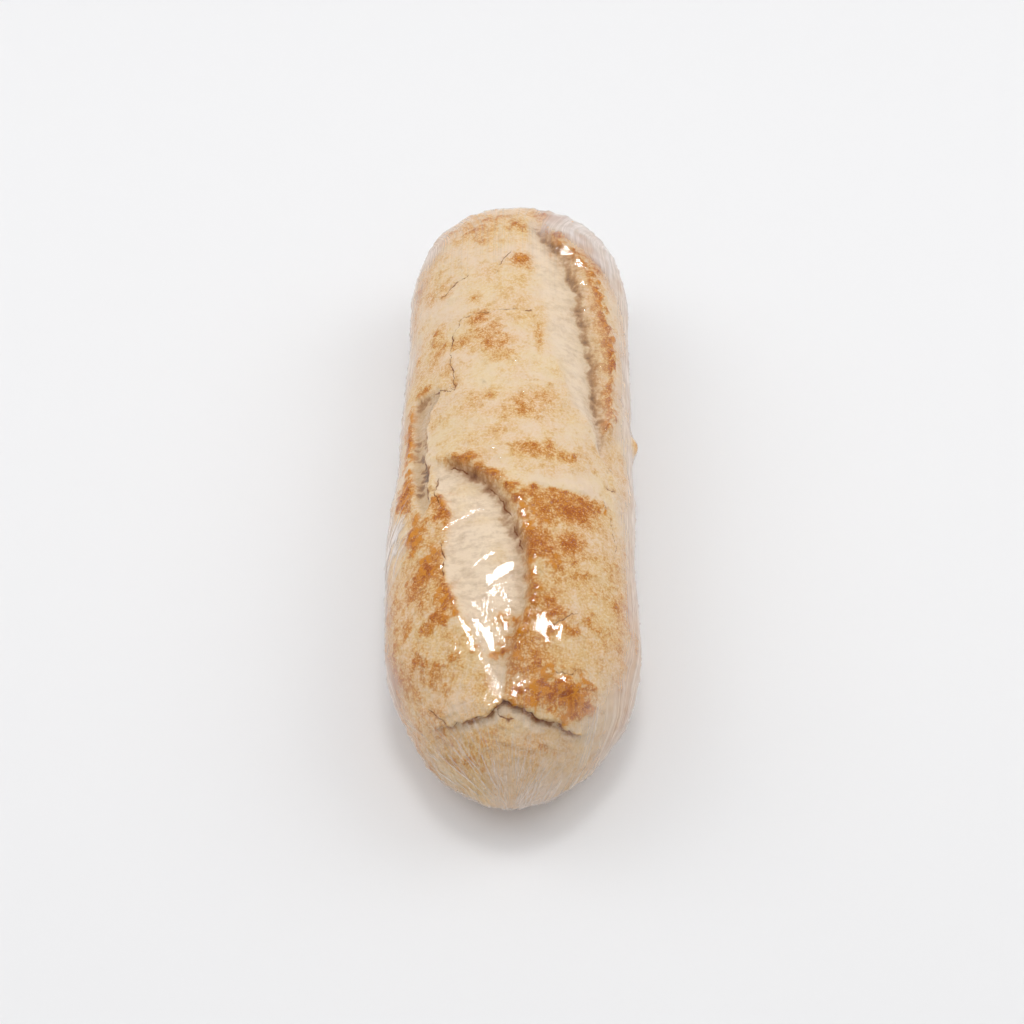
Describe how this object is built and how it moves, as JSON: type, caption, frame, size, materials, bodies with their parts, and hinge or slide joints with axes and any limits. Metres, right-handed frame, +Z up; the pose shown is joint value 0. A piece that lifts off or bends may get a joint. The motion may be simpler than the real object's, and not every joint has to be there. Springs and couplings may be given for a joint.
{
  "type": "baguette wrapped in cling film",
  "caption": "Short torn-crust baguette lying flat, drawn tightly in clear cling film gathered under both ends.",
  "frame": {"origin": "on the surface that the wrapped loaf rests on, under the middle of its bounding box", "axes": "+Y runs along the loaf from its pointed near end to its blunt far end, +X is its right side and +Z is up"},
  "size_m": [0.0802, 0.2316, 0.0558],
  "materials": {
    "crust": "matte",
    "film": "gloss"
  },
  "bodies": {
    "root": {"baguette_loaf": "crust", "cling_film": "film"}
  },
  "joints": []
}
